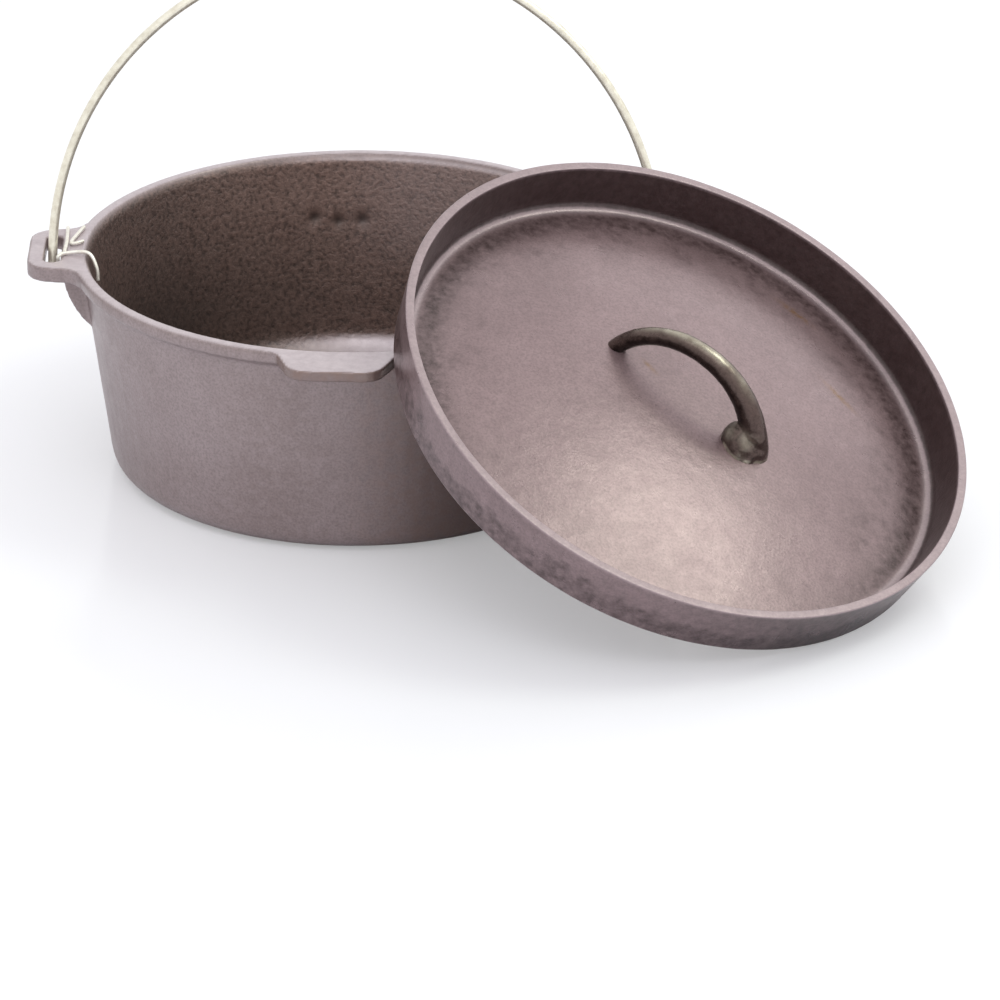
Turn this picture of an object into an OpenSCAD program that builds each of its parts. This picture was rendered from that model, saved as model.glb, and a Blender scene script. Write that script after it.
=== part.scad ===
// Camp dutch oven: a cast iron pot with two slotted ears and a front tab,
// a pan-shaped cast lid with a loop handle leaning on the pot, a wire bail
// hooked through the ears, and a thin wire tie lying on one ear.
// Millimetres, +Z up. The origin is the centre of the pot's underside and
// the X axis runs through both ears.

/* [Pot] */
// Outer radius of the rim
rim_r = 150; // [125:1:180]
// Height of the pot from the floor to the rim
pot_h = 118; // [95:1:145]
// How far the rim band stands out from the wall
rim_overhang = 4.5; // [3:0.5:6]
// Width of the rim's flat top
rim_w = 6.5; // [6:0.5:9]
// Height of the rim band's outer face
rim_band_h = 6.5; // [4:0.5:9]
// Height of the slope under the rim band
rim_slope_h = 3; // [2:0.5:5]
// Rounding of the rim's outer edge
rim_edge_r = 2.25; // [0.5:0.25:3]
// Height of the bevel inside the rim
bevel_h = 4; // [2:0.5:6]
// How far the wall draws in from the rim band to the floor
wall_taper = 15; // [8:1:20]
// Thickness of the wall
wall_t = 4.5; // [4:0.25:6]
// Thickness of the pot's floor
floor_t = 6; // [4:0.5:9]
// Rounding between the wall and the underside
corner_r = 12; // [8:1:16]
// Rounding between the wall and the floor inside
inner_corner_r = 16; // [10:1:22]

/* [Ears] */
// Reach of an ear beyond the rim
ear_reach = 23.5; // [22:0.5:28]
// Width of an ear at its tip
ear_tip_w = 54; // [50:1:64]
// Width of an ear where it leaves the rim
ear_root_w = 60; // [56:1:72]
// Thickness of an ear
ear_t = 8.5; // [6:0.5:10]
// Rounding of an ear's tip corners
ear_corner_r = 14; // [8:1:16]
// Fillet where an ear runs into the rim
ear_root_r = 11; // [6:1:14]
// Length of the slot through an ear
slot_l = 38; // [34:1:42]
// Width of the slot through an ear
slot_w = 8.5; // [8:0.25:10]
// Distance from the rim's outer edge to the middle of the slot
slot_set = 10.3; // [9.5:0.1:12.5]
// Width of the gusset under an ear
gusset_w = 50; // [30:1:54]
// Height of the gusset under an ear
gusset_h = 25; // [15:1:40]
// Reach of the gusset beyond the rim at its top
gusset_reach = 4; // [2:0.5:5.5]

/* [Front tab] */
// Reach of the tab beyond the rim
tab_reach = 21; // [14:0.5:24]
// Width of the tab at its tip, before its corners are rounded
tab_tip_w = 45; // [36:1:52]
// Width of the tab where it leaves the rim
tab_root_w = 60; // [54:1:68]
// Thickness of the tab
tab_t = 6; // [4:0.5:8]
// Rounding of the tab's tip corners
tab_corner_r = 12; // [4:0.5:14]
// Fillet where the tab runs into the rim
tab_root_r = 8; // [3:0.5:12]
// Angle of the tab from square to the line of the ears
tab_turn = 3.5; // [0:0.5:6]

/* [Lid] */
// How far the lid's bottom edge stays inside the rim's outer edge
lid_inset = 0.5; // [0:0.25:2]
// How far the lid's wall draws in from its top edge to its bottom edge
lid_taper = 4.3; // [1:0.1:6]
// Height of the lid's wall
lid_h = 32; // [26:0.5:40]
// Thickness of the lid's wall
lid_wall_t = 5; // [4:0.25:6]
// Rounding of the wall's top edge
lid_edge_r = 0.8; // [0.4:0.1:2]
// Rounding of the wall's bottom edge
lid_foot_r = 2.5; // [1:0.25:4]
// Depth of the tray at the foot of the wall
tray_depth = 25; // [18:0.5:26]
// Fillet at the foot of the wall inside the tray
tray_fillet_r = 4.5; // [1.5:0.25:6]
// Rise of the dome at the lid's middle
dome_rise = 16.5; // [8:0.5:20]
// Thickness of the dome
dome_t = 4.5; // [3.5:0.25:6]
// Height of the locating lip under the lid
lip_h = 3; // [2:0.25:5]
// Thickness of the locating lip
lip_t = 4.2; // [3:0.2:6]
// Radial gap between the lip and the rim when the lid is on the pot
lip_gap = 0.9; // [0.5:0.1:2]

/* [Lid handle] */
// Distance between the middles of the handle's feet
handle_span = 88; // [70:1:100]
// Height of the bar's middle above the feet at the crown
handle_rise = 31.1; // [26:0.1:38]
// Diameter of the handle's bar at its thin end
handle_d = 9.4; // [8:0.1:12]
// Diameter of the bar at its thick end, above the foot
handle_leg_d = 14.6; // [12:0.1:16]
// Diameter of the flared foot at the thick end
handle_foot_d = 16.5; // [16:0.5:22]
// How far the handle's middle stands off the lid's middle
handle_shift = 1.5; // [-5:0.1:5]
// Angle of the handle from the lid's low side
handle_turn = 16; // [-60:0.5:60]

/* [Leaning lid] */
// Lean of the lid from level
lid_lean = 30; // [26:0.5:33]
// Direction of the lid's low side
lid_low_side = -46; // [-50:0.5:-40]
// Direction of the lid's middle from the pot's middle
lid_bearing = -40.3; // [-44:0.1:-38]
// Gap left where the lid leans on the pot
lean_gap = 0.3; // [0.3:0.1:2]

/* [Bail] */
// Diameter of the bail's wire
wire_d = 5; // [4:0.25:6]
// Radius of the bend at each end, at the middle of the wire
bend_r = 4; // [3.5:0.25:6]
// Straight length between the bend and the arch
leg_l = 2; // [1:0.5:12]
// Gap between the bail's leg and the outer side of the slot
bail_play = 1.2; // [0.6:0.1:2]
// Gap between the bail's feet and the underside of the ears
foot_gap = 0.3; // [0.2:0.05:1]
// Distance from the end of a foot to the tip of its ear
foot_setback = 1.5; // [0.5:0.25:3]
// Lean of the bail towards the back
bail_lean = 18; // [14:0.5:40]
// Furthest forward the bail comes, measured as a lean towards the back
bail_front_lean = 15.5; // [10:0.5:17]

/* [Tie wire] */
// Diameter of the tie's wire
tie_d = 2; // [1:0.1:2.4]
// Gap between the tie and the iron that it lies on
tie_gap = 0.1; // [0.05:0.05:0.5]
// Distance in front of the ear's middle where the tie comes up through the slot
tie_front = 14; // [12:0.5:16]
// Reach of the tie's loose ends towards the back
tie_back = 27; // [20:1:28]
// How far the tie hangs down inside the pot
tie_hang = 13; // [8:1:30]

/* [Hidden] */
$fn = 128;

// Straight steps in one rounded corner, and across the dome
corner_steps = 6;
dome_steps = 20;
// How gently the dome runs out into the tray: 1 ends on a slope, and more ends flatter
dome_run = 1.15;
// How far a cut runs past the face that it opens
over = 1;
// Spacing of the points where the lid may touch an ear or the tab, and the directions
// in which it may touch the rim
lean_step = 0.4;
lean_arc = [-130:2:40];
// Sides of the tie's thin wire, and a direction that no strand runs along
tie_sides = 10;
strand_ref = [1, 0.3, 0.4];
// Sides and steps of the handle's bar, how suddenly it thickens and its foot flares,
// and the hairline under its feet, where the dome is curved
handle_sides = 18;
handle_steps = 24;
handle_swell = 1.5;
handle_flare = 12;
seat_gap = 0.1;
// Directions between which the tie's turned end bends
tie_turn = [180, 310];

// Pot's wall: a slanted line whose foot is extended down to the floor
wall_top_r = rim_r - rim_overhang;
wall_draft = atan(wall_taper / (pot_h - rim_band_h));
base_r = wall_top_r - wall_taper;
inner_base_r = base_r - wall_t / cos(wall_draft);
slot_r = rim_r + slot_set;
ear_bottom_z = pot_h - ear_t;
inner_rim_r = rim_r - rim_w;

// Lid in its own frame: its axis is Z and its bottom edge lies at zero
lid_base_r = rim_r - lid_inset;
lid_top_r = lid_base_r + lid_taper;
lid_draft = atan(lid_taper / lid_h);
tray_z = lid_h - tray_depth;
tray_wall_r = lid_top_r - lid_wall_t - (lid_h - tray_z) * tan(lid_draft);
dome_r = tray_wall_r - tray_fillet_r;
lip_r = inner_rim_r - lip_gap;
lip_in_r = lip_r - lip_t;

// Handle: an arc through both feet and the crown
handle_foot_z = dome_z(handle_span / 2);
handle_arc_r = (pow(handle_span / 2, 2) + pow(handle_rise, 2)) / (2 * handle_rise);
handle_arc_z = handle_foot_z + handle_rise - handle_arc_r;
handle_foot_a = asin((handle_foot_z - handle_arc_z) / handle_arc_r);

// Bail: its feet turn on an axis just under the ears
wire_r = wire_d / 2;
bail_drop = bend_r + leg_l;
hinge_z = ear_bottom_z - foot_gap - wire_r;
bail_r = slot_r + slot_w / 2 - bail_play - wire_r;
foot_end = rim_r + ear_reach - foot_setback;

// Tie: its strands lie on top of the left ear
tie_r = tie_d / 2;
tie_z = pot_h + tie_r + tie_gap;
tie_slot_x = -(slot_r - slot_w / 2 + tie_r + tie_gap);
tie_land_x = -(rim_r + slot_set / 2 - slot_w / 4);

function arc(c, r, a0, a1, steps = corner_steps) =
    [for (i = [0:steps]) c + r * [cos(a0 + (a1 - a0) * i / steps), sin(a0 + (a1 - a0) * i / steps)]];

function wall_r(z) = base_r + z * tan(wall_draft);
function inner_r(z) = inner_base_r + z * tan(wall_draft);
// Radius of a rounded corner's middle, for a corner against the slanted wall
function corner_mid(foot, z, r) = foot + z * tan(wall_draft) - r / cos(wall_draft);
function dome_z(r) = tray_z + dome_rise * pow(1 - pow(min(r, dome_r) / dome_r, 2), dome_run);
function dome_curve(r0, r1, lift) =
    [for (i = [0:dome_steps]) let (r = r0 + (r1 - r0) * i / dome_steps) [r, dome_z(r) + lift]];

// Half outline of a flat lug on the rim: its tip corner, then the fillet into the rim
function lug_side(reach, tip_w, root_w, tip_r, root_r) =
    let (
        slant = atan((root_w - tip_w) / 2 / reach),
        tip = [rim_r + reach, tip_w / 2],
        tip_mid = [tip.x - tip_r, tip.y - tip_r * (1 - sin(slant)) / cos(slant)],
        along = [-cos(slant), sin(slant)],
        start = tip + root_r * [sin(slant), cos(slant)],
        step = -start * along - sqrt(pow(start * along, 2) - start * start + pow(rim_r + root_r, 2)),
        root_mid = start + step * along,
        root_a = atan2(root_mid.y, root_mid.x))
    concat(
        arc(tip_mid, tip_r, 0, 90 - slant),
        arc(root_mid, root_r, 270 - slant, 180 + root_a),
        [(rim_r - rim_w / 2) * [cos(root_a), sin(root_a)]]);

function lug_outline(side) =
    concat([for (i = [len(side) - 1:-1:0]) [side[i].x, -side[i].y]], side);
ear_outline = lug_outline(lug_side(ear_reach, ear_tip_w, ear_root_w, ear_corner_r, ear_root_r));
tab_outline = lug_outline(lug_side(tab_reach, tab_tip_w, tab_root_w, tab_corner_r, tab_root_r));

// Where the lid rests: low enough to touch the floor with its lowest edge,
// and as close to the pot as the gap allows
lid_z = max(
    (lid_base_r - lid_foot_r) * sin(lid_lean) + lid_foot_r * (1 - cos(lid_lean)),
    lip_r * sin(lid_lean) + lip_h * cos(lid_lean));

function turn_z(p, a) = [p.x * cos(a) - p.y * sin(a), p.x * sin(a) + p.y * cos(a), p.z];
function turn_y(p, a) = [p.x * cos(a) + p.z * sin(a), p.y, p.z * cos(a) - p.x * sin(a)];
function lid_place(reach) = [reach * cos(lid_bearing), reach * sin(lid_bearing), lid_z];
function in_lid(p, reach) = turn_y(turn_z(p - lid_place(reach), -lid_low_side), -lid_lean);
// Room between a point and the lid: under the dome, below the lip, or outside the wall
function room_at(q, r) = max(
    min(lip_in_r - r, dome_z(r) - dome_t - q.z),
    -lip_h - q.z,
    min(r - lip_r, -q.z),
    q.z - lid_h,
    (r - lid_base_r) * cos(lid_draft) - max(q.z, 0) * sin(lid_draft));
function room(p, reach) = let (q = in_lid(p, reach)) room_at(q, norm([q.x, q.y]));

// Points along an outline's edges, set at the top and the underside of a lug
function edge_points(outline, turn, thickness) =
    [for (i = [0:len(outline) - 2])
        let (edge = outline[i + 1] - outline[i], steps = ceil(norm(edge) / lean_step))
        for (k = [0:steps], z = [pot_h - thickness, pot_h])
            let (p = outline[i] + edge * k / steps)
            turn_z([p.x, p.y, z], turn)];
lean_points = concat(
    [for (a = lean_arc) [rim_r * cos(a), rim_r * sin(a), pot_h]],
    [for (a = lean_arc) [rim_r * cos(a), rim_r * sin(a), pot_h - rim_band_h]],
    edge_points(ear_outline, 0, ear_t),
    edge_points(tab_outline, -90 - tab_turn, tab_t));
function least_room(reach) = min([for (p = lean_points) room(p, reach)]);
function solve_reach(near, far, tries = 24) =
    tries == 0 ? far :
    let (mid = (near + far) / 2)
    least_room(mid) >= lean_gap ? solve_reach(near, mid, tries - 1) : solve_reach(mid, far, tries - 1);
lid_reach = solve_reach(rim_r, rim_r + ear_reach + 2 * lid_top_r);

// The bail leans back further where a higher lid would touch it at its forward end
function bail_room(lean) = min([for (a = [0:3:90])
    let (h = bail_drop + bail_r * sin(a))
    room([bail_r * cos(a), h * sin(lean), hinge_z + h * cos(lean)], lid_reach)]) - wire_r;
function solve_lean(near, far, tries = 16) =
    tries == 0 ? far :
    let (mid = (near + far) / 2)
    bail_room(mid) >= lean_gap ? solve_lean(near, mid, tries - 1) : solve_lean(mid, far, tries - 1);
bail_turn = bail_lean + max(0, solve_lean(0, 90) - bail_front_lean);

module pot_outside() {
    mid = corner_mid(base_r, corner_r, corner_r);
    rotate_extrude()
        polygon(concat(
            [[0, 0]],
            arc([mid, corner_r], corner_r, -90, -wall_draft),
            [[wall_r(pot_h - rim_band_h - rim_slope_h), pot_h - rim_band_h - rim_slope_h],
             [rim_r, pot_h - rim_band_h]],
            arc([rim_r - rim_edge_r, pot_h - rim_edge_r], rim_edge_r, 0, 90),
            [[0, pot_h]]));
}

module pot_inside() {
    mid = corner_mid(inner_base_r, floor_t + inner_corner_r, inner_corner_r);
    rotate_extrude()
        polygon(concat(
            [[0, floor_t]],
            arc([mid, floor_t + inner_corner_r], inner_corner_r, -90, -wall_draft),
            [[inner_r(pot_h - bevel_h), pot_h - bevel_h],
             [inner_rim_r, pot_h],
             [inner_rim_r, pot_h + over],
             [0, pot_h + over]]));
}

module lug(outline, thickness) {
    translate([0, 0, pot_h - thickness])
        linear_extrude(thickness)
            polygon(outline);
}

// Outer face of the gusset: furthest out under the ear, curving into the wall at its foot
function gusset_side() =
    [for (i = [0:corner_steps])
        let (t = i / corner_steps, z = ear_bottom_z - gusset_h * t,
            top = rim_r + gusset_reach - wall_r(ear_bottom_z))
        [wall_r(z) + top * (1 - t * t), z]];

module gusset() {
    root_z = ear_bottom_z + ear_t / 2;
    foot_z = ear_bottom_z - gusset_h;
    rotate([90, 0, 0])
        linear_extrude(gusset_w, center = true)
            polygon(concat(
                [[inner_rim_r, root_z], [rim_r + gusset_reach, root_z]],
                gusset_side(),
                [[inner_r(foot_z) + wall_t / 2, foot_z]]));
}

module slot() {
    end_y = (slot_l - slot_w) / 2;
    translate([slot_r, 0, ear_bottom_z - over])
        linear_extrude(ear_t + 2 * over) {
            square([slot_w, 2 * end_y], center = true);
            for (s = [-1, 1])
                translate([0, s * end_y])
                    circle(d = slot_w);
        }
}

module pot() {
    color("dimgray")
        difference() {
            union() {
                pot_outside();
                for (a = [0, 180])
                    rotate([0, 0, a]) {
                        lug(ear_outline, ear_t);
                        gusset();
                    }
                rotate([0, 0, -90 - tab_turn])
                    lug(tab_outline, tab_t);
            }
            pot_inside();
            for (a = [0, 180])
                rotate([0, 0, a])
                    slot();
        }
}

module lean() {
    translate(lid_place(lid_reach))
        rotate([0, 0, lid_low_side])
            rotate([0, lid_lean, 0])
                children();
}

module lid_section() {
    top_in = lid_top_r - lid_wall_t + lid_edge_r;
    polygon(concat(
        [[lip_in_r, -lip_h], [lip_r, -lip_h], [lip_r, 0]],
        arc([lid_base_r - lid_foot_r, lid_foot_r], lid_foot_r, -90, 0),
        arc([lid_top_r - lid_edge_r, lid_h - lid_edge_r], lid_edge_r, 0, 90),
        arc([top_in, lid_h - lid_edge_r], lid_edge_r, 90, 180),
        arc([dome_r, tray_z + tray_fillet_r], tray_fillet_r, 0, -90),
        dome_curve(dome_r, 0, 0),
        dome_curve(0, lip_in_r, -dome_t)));
}

module lid() {
    color("gray")
        lean()
            rotate_extrude()
                lid_section();
}

// A solid of triangles through rings of equally many points
module loft(rings) {
    sides = len(rings[0]);
    last = len(rings) - 1;
    skin = [for (i = [0:last - 1], k = [0:sides - 1])
        let (a = i * sides + k, b = i * sides + (k + 1) % sides)
        each [[a, b, b + sides], [a, b + sides, a + sides]]];
    start = [for (k = [1:sides - 2]) [0, k + 1, k]];
    end = [for (k = [1:sides - 2]) [0, k, k + 1] + last * sides * [1, 1, 1]];
    polyhedron([for (ring = rings) each ring], concat(skin, start, end));
}

// The handle's bar: its rings stand square to the arc, and its feet are set down on the dome
function handle_ring(i) =
    let (
        t = i / handle_steps,
        a = handle_foot_a + (180 - 2 * handle_foot_a) * t,
        d = handle_d + (handle_leg_d - handle_d) * pow(1 - t, handle_swell)
            + (handle_foot_d - handle_leg_d) * pow(1 - t, handle_flare),
        out = [cos(a), 0, sin(a)],
        mid = [handle_shift, 0, handle_arc_z] + handle_arc_r * out)
    [for (k = [0:handle_sides - 1])
        mid + d / 2 * (cos(360 * k / handle_sides) * out - sin(360 * k / handle_sides) * [0, 1, 0])];
function on_dome(p, way, tries = 6) =
    tries == 0 ? p :
    on_dome(p + way * (dome_z(norm([p.x, p.y])) + seat_gap - p.z) / way.z, way, tries - 1);
function handle_foot(i, way) = [for (p = handle_ring(i)) on_dome(p, way)];

module lid_handle() {
    way = [-sin(handle_foot_a), 0, cos(handle_foot_a)];
    color("dimgray")
        lean()
            rotate([0, 0, handle_turn])
                loft(concat(
                    [handle_foot(0, way)],
                    [for (i = [1:handle_steps - 1]) handle_ring(i)],
                    [handle_foot(handle_steps, [-way.x, 0, way.z])]));
}

module bail_end() {
    translate([bail_r + bend_r, 0, 0])
        rotate([0, 90, 0])
            cylinder(h = foot_end - bail_r - bend_r, d = wire_d);
    translate([bail_r + bend_r, 0, bend_r])
        rotate([90, 0, 0])
            rotate([0, 0, 180])
                rotate_extrude(angle = 90)
                    translate([bend_r, 0])
                        circle(d = wire_d);
    translate([bail_r, 0, bend_r])
        cylinder(h = bail_drop - bend_r, d = wire_d);
}

module bail() {
    color("silver")
        translate([0, 0, hinge_z])
            rotate([-bail_turn, 0, 0]) {
                for (s = [0, 1])
                    mirror([s, 0, 0])
                        bail_end();
                translate([0, 0, bail_drop])
                    rotate([90, 0, 0])
                        rotate_extrude(angle = 180)
                            translate([bail_r, 0])
                                circle(d = wire_d);
            }
}

// One strand of the tie: a tube swept through a list of points
function strand_way(points, i) =
    points[min(i + 1, len(points) - 1)] - points[max(i - 1, 0)];
function strand_ring(p, way) =
    let (
        side = cross(way, strand_ref) / norm(cross(way, strand_ref)),
        up = cross(side, way) / norm(way))
    [for (k = [0:tie_sides - 1])
        p + tie_r * (cos(360 * k / tie_sides) * side + sin(360 * k / tie_sides) * up)];

module strand(points) {
    loft([for (i = [0:len(points) - 1]) strand_ring(points[i], strand_way(points, i))]);
}

// A point of the tie hanging inside the pot, clear of the wall
function tie_hung(drop, y) = [2 * tie_d - inner_r(tie_z - drop), y, tie_z - drop];

// The tie comes up through the slot, crosses the rim and hangs inside the pot;
// its loose ends lie on the ear behind it, one straight and one turned back on itself
module tie_wire() {
    knot = [tie_land_x, 2 * tie_d - tie_front, tie_z];
    turn = [tie_land_x + 2 * tie_d, 3 * tie_d];
    color("ivory") {
        strand([[tie_slot_x, -tie_front, ear_bottom_z],
            [tie_slot_x, -tie_front, tie_z],
            knot,
            [tie_d - inner_rim_r, knot.y, tie_z],
            tie_hung(tie_hang / 2, knot.y - 2 * tie_d),
            tie_hung(tie_hang, knot.y - 3 * tie_d)]);
        strand([[knot.x - tie_r, knot.y + tie_d + 4 * tie_gap, tie_z],
            [knot.x - tie_r / 2, turn.y, tie_z],
            [knot.x - tie_r, tie_back, tie_z]]);
        strand(concat(
            [[-inner_rim_r - tie_d, tie_back + tie_r, tie_z]],
            [for (p = arc(turn, tie_d, tie_turn[0], tie_turn[1])) [p.x, p.y, tie_z]],
            [[turn.x + 2 * tie_d, turn.y + tie_r, tie_z]]));
    }
}

pot();
lid();
lid_handle();
bail();
tie_wire();
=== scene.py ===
import math

import bmesh
import bpy
import numpy as np
from mathutils import Matrix, Vector, noise


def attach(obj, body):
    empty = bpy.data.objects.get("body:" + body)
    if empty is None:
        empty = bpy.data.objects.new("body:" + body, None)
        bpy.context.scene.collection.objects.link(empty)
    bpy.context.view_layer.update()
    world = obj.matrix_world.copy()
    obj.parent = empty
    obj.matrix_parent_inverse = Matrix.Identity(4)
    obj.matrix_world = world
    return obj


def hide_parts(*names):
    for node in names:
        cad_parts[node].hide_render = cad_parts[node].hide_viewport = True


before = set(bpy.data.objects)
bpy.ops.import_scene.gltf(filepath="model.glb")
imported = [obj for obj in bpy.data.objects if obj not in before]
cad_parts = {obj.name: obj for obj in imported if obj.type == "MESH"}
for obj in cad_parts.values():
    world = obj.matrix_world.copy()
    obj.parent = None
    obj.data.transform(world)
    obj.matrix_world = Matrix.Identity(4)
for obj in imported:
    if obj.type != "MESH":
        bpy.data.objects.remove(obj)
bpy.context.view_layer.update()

# Sizes are in metres and angles in degrees

# Pot
RIM_R = 0.150
RIM_W = 0.0065
RIM_OVERHANG = 0.0045
RIM_BAND_H = 0.0065
POT_H = 0.118
WALL_TAPER = 0.015
WALL_T = 0.0045
FLOOR_T = 0.006
EAR_REACH = 0.0235
EAR_T = 0.0085
SLOT_SET = 0.0103
SLOT_W = 0.0085
WALL_SLOPE = WALL_TAPER / (POT_H - RIM_BAND_H)
BASE_R = RIM_R - RIM_OVERHANG - WALL_TAPER
INNER_BASE_R = BASE_R - WALL_T * math.hypot(1, WALL_SLOPE)
INNER_RIM_R = RIM_R - RIM_W
EAR_BOTTOM_Z = POT_H - EAR_T
SLOT_R = RIM_R + SLOT_SET

# Lid, in its own axes, and how it leans
LID_INSET = 0.0005
LID_TAPER = 0.0043
LID_H = 0.032
LID_WALL_T = 0.005
LID_EDGE_R = 0.0008
LID_FOOT_R = 0.0025
TRAY_DEPTH = 0.025
TRAY_FILLET_R = 0.0045
DOME_RISE = 0.0165
DOME_RUN = 1.15
DOME_T = 0.0045
LIP_H = 0.003
LIP_T = 0.0042
LIP_GAP = 0.0009
LID_BASE_R = RIM_R - LID_INSET
LID_TOP_R = LID_BASE_R + LID_TAPER
LID_MOUTH_R = LID_TOP_R - LID_WALL_T
TRAY_Z = LID_H - TRAY_DEPTH
DOME_R = LID_MOUTH_R - TRAY_DEPTH * LID_TAPER / LID_H - TRAY_FILLET_R
LIP_R = INNER_RIM_R - LIP_GAP
LIP_IN_R = LIP_R - LIP_T
LID_LEAN = 30
LID_LOW_SIDE = -46


def dome_z(r):
    """Height of the lid's dome at a distance from its middle."""
    return TRAY_Z + DOME_RISE * (1 - (np.minimum(r, DOME_R) / DOME_R) ** 2) ** DOME_RUN


# Lid handle, and the weld at its thick foot
HANDLE_SPAN = 0.088
HANDLE_RISE = 0.0311
HANDLE_D = 0.0094
HANDLE_LEG_D = 0.0146
HANDLE_FOOT_D = 0.0165
HANDLE_SWELL = 1.5
HANDLE_FLARE = 12
HANDLE_SHIFT = 0.0015
HANDLE_TURN = 16
HANDLE_SINK = 0.002
HANDLE_ARC_R = ((HANDLE_SPAN / 2) ** 2 + HANDLE_RISE**2) / (2 * HANDLE_RISE)
HANDLE_ARC_Z = dome_z(HANDLE_SPAN / 2) + HANDLE_RISE - HANDLE_ARC_R
HANDLE_FOOT_A = math.degrees(math.asin(1 - HANDLE_RISE / HANDLE_ARC_R))
WELD_X = 0.0405
WELD_Y = -0.0035
WELD_SIZE = (0.012, 0.0105, 0.0135)
WELD_TOP = 84
WELD_SLANT = 0.33

# Bail
WIRE_R = 0.0025
BEND_R = 0.004
LEG_L = 0.002
BAIL_PLAY = 0.0012
FOOT_GAP = 0.0003
FOOT_SETBACK = 0.0015
BAIL_LEAN = 18
HINGE_Z = EAR_BOTTOM_Z - FOOT_GAP - WIRE_R
BAIL_R = SLOT_R + SLOT_W / 2 - BAIL_PLAY - WIRE_R
FOOT_END = RIM_R + EAR_REACH - FOOT_SETBACK

# Tie
TIE_R = 0.001
TIE_GAP = 0.0001
TIE_FRONT = -0.014
TIE_Z = POT_H + TIE_R + TIE_GAP
TIE_SLOT_X = -(SLOT_R - SLOT_W / 2 + TIE_R + TIE_GAP)
KNOT_X = -0.1530
KNOT_Y = -0.010

# Fineness of the skins
POT_VOXEL = 0.00125
POT_ROUNDS = 5
LID_STEP = 0.0013
LID_SIDES = 640
HANDLE_VOXEL = 0.0006
HANDLE_ROUNDS = 24
HANDLE_STEPS = 120
HANDLE_SIDES = 40
WELD_STEPS = 14
CORNER_STEPS = 8
BEND_STEPS = 7
BAIL_STEPS = 48
BAIL_SIDES = 24
TIE_STEP = 0.0008
TIE_SIDES = 14

# How far apart two seeds of the same noise lie
SEED_SHIFT = (3.1, 7.7, 1.3)


def smoothstep(x, low, high):
    """Rises smoothly from 0 at low to 1 at high, which may also be the smaller of the two."""
    t = np.clip((x - low) / (high - low), 0, 1)
    return t * t * (3 - 2 * t)


def wave(points, size, seed):
    """Smooth noise from -1 to 1, with features about as long as size."""
    shift = Vector([seed * step for step in SEED_SHIFT])
    return np.array([noise.noise(Vector(p) / size + shift) for p in points])


def points_of(mesh):
    points = np.zeros(len(mesh.vertices) * 3)
    mesh.vertices.foreach_get("co", points)
    return points.reshape(-1, 3)


def normals_of(mesh):
    normals = np.zeros(len(mesh.vertices) * 3)
    mesh.vertices.foreach_get("normal", normals)
    return normals.reshape(-1, 3)


def set_points(mesh, points):
    mesh.vertices.foreach_set("co", points.astype(np.float32).ravel())
    mesh.update()


def seen_from(place, points):
    """Points given in the axes of a place."""
    back = np.array(place.inverted())
    return points @ back[:3, :3].T + back[:3, 3]


def turned(angle, axis):
    return Matrix.Rotation(math.radians(angle), 4, axis)


def lid_axes():
    """The lid's own axes, from the way it leans and from its solid in the frame."""
    lean = turned(LID_LOW_SIDE, "Z") @ turned(LID_LEAN, "Y")
    solid = seen_from(lean, points_of(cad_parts["lid"].data))
    low, high = solid.min(0), solid.max(0)
    x, y, _ = (low + high) / 2
    return lean @ Matrix.Translation((x, y, low[2] + LIP_H))


LID_TO_WORLD = lid_axes()
HANDLE_TO_WORLD = LID_TO_WORLD @ turned(HANDLE_TURN, "Z")


def smooth_faces(mesh):
    for face in mesh.polygons:
        face.use_smooth = True


def relax(mesh, rounds):
    """Rounds the edges as a casting's are, without shrinking the form."""
    pull, push = 0.5, -0.53
    edges = np.zeros(len(mesh.edges) * 2, np.int32)
    mesh.edges.foreach_get("vertices", edges)
    a, b = edges.reshape(-1, 2).T
    points = points_of(mesh)
    n = len(points)
    count = np.bincount(np.concatenate([a, b]), minlength=n)[:, None]
    for step in (pull, push) * rounds:
        sums = [np.bincount(a, points[b, k], n) + np.bincount(b, points[a, k], n) for k in range(3)]
        points = points + step * (np.stack(sums, 1) / count - points)
    set_points(mesh, points)


def fuse(name, mesh, voxel, rounds):
    """One even skin round a mesh's forms, with softened edges."""
    source = bpy.data.objects.new("source", mesh)
    bpy.context.scene.collection.objects.link(source)
    remesh = source.modifiers.new("remesh", "REMESH")
    remesh.mode = "VOXEL"
    remesh.voxel_size = voxel
    depsgraph = bpy.context.evaluated_depsgraph_get()
    fused = bpy.data.meshes.new_from_object(source.evaluated_get(depsgraph))
    bpy.data.objects.remove(source)
    fused.materials.clear()
    fused.name = name
    relax(fused, rounds)
    return fused


def casting(node, voxel, rounds):
    """A solid's own form, as one even skin."""
    same_place = 1e-6
    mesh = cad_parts[node].data.copy()
    joined = bmesh.new()
    joined.from_mesh(mesh)
    bmesh.ops.remove_doubles(joined, verts=joined.verts, dist=same_place)
    joined.to_mesh(mesh)
    joined.free()
    return fuse(node + "_skin", mesh, voxel, rounds)


def roughen(mesh, layers):
    """An uneven cast skin, mostly sunk: each layer has a feature size, a depth and a seed."""
    sunk = 0.8
    points = points_of(mesh)
    lift = np.zeros(len(points))
    for size, depth, seed in layers:
        lift += depth * (wave(points, size, seed) - sunk)
    points += normals_of(mesh) * lift[:, None]
    points[:, 2] = np.maximum(points[:, 2], 0)
    set_points(mesh, points)
    smooth_faces(mesh)


def paint(mesh, **layers):
    """Keeps values for the iron at each point, or 0 where one isn't given."""
    for name in ("shade", "coarse", "ground", "rust", "dim"):
        values = np.zeros(len(mesh.vertices)) + layers.get(name, 0)
        attribute = mesh.attributes.new(name, "FLOAT", "POINT")
        attribute.data.foreach_set("value", values.astype(np.float32))


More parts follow.
